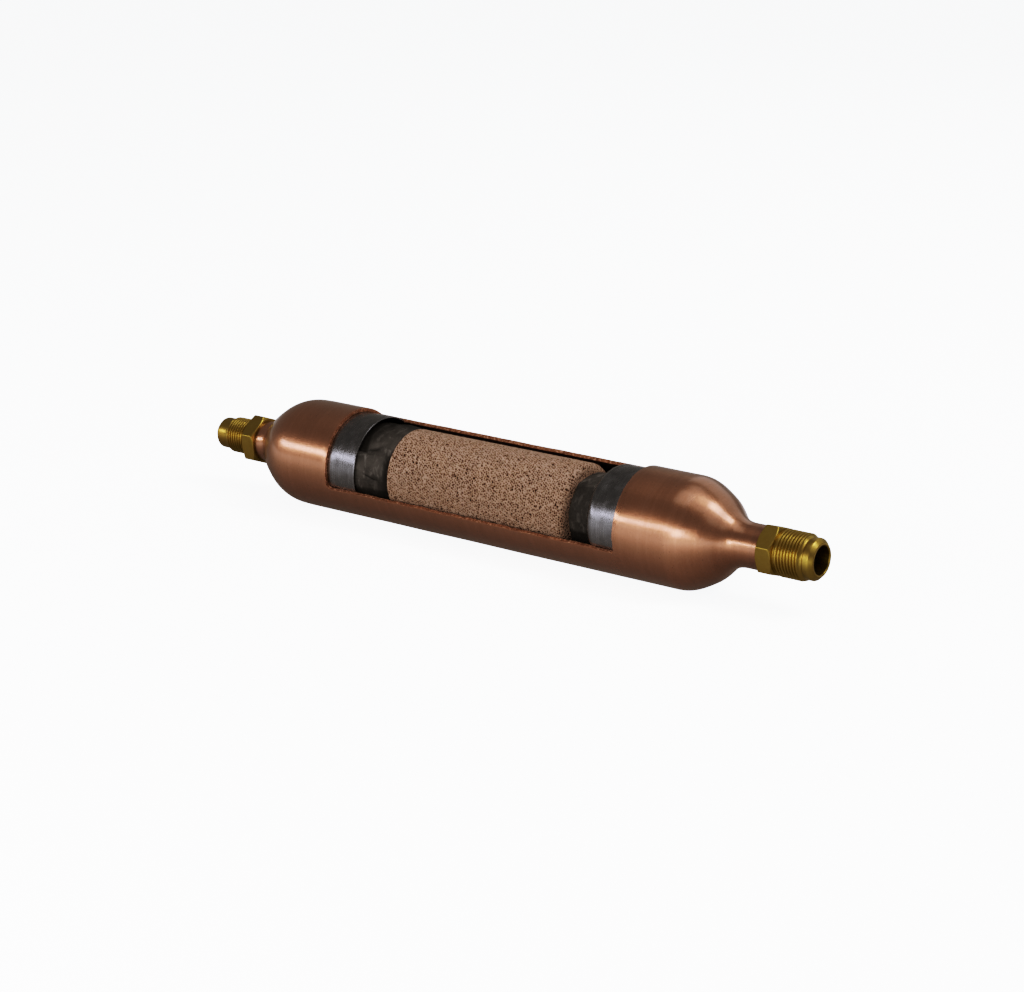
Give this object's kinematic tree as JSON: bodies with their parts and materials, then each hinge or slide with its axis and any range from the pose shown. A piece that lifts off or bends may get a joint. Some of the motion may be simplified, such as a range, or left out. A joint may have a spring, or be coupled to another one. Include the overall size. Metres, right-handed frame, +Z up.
{
  "type": "filter drier",
  "caption": "Inline refrigerant filter drier: spun copper shell with threaded flare ends, cut open to show its bead core, gauze screens and pressed steel cups.",
  "frame": {"origin": "on the drier's axis, midway between the tips of the two flare fittings", "axes": "+X along the axis towards the outlet (the larger thread), +Z up, and the cut-away window opens upwards and towards -Y"},
  "size_m": [0.365, 0.054, 0.054],
  "materials": {
    "copper": "satin spun copper, reddish brown, with fine turning marks round the axis",
    "brass": "machined brass, olive yellow, semi-gloss",
    "braze": "copper-phosphorus braze filler, dull",
    "pressed_steel": "deep-drawn steel, blue-grey, fine draw marks along the axis",
    "gauze": "dark grey fine wire gauze, matt",
    "pad": "off-white compressed glass-fibre pad",
    "desiccant": "tan bonded beads with dark open pores, matt"
  },
  "bodies": {
    "root": {"shell": "copper", "inlet_fitting": "brass", "outlet_fitting": "brass", "inlet_braze": "braze", "outlet_braze": "braze", "inlet_cup": "pressed_steel", "outlet_cup": "pressed_steel", "inlet_screen": "gauze", "outlet_screen": "gauze", "inlet_pad": "pad", "outlet_pad": "pad", "desiccant_core": "desiccant"}
  },
  "joints": []
}
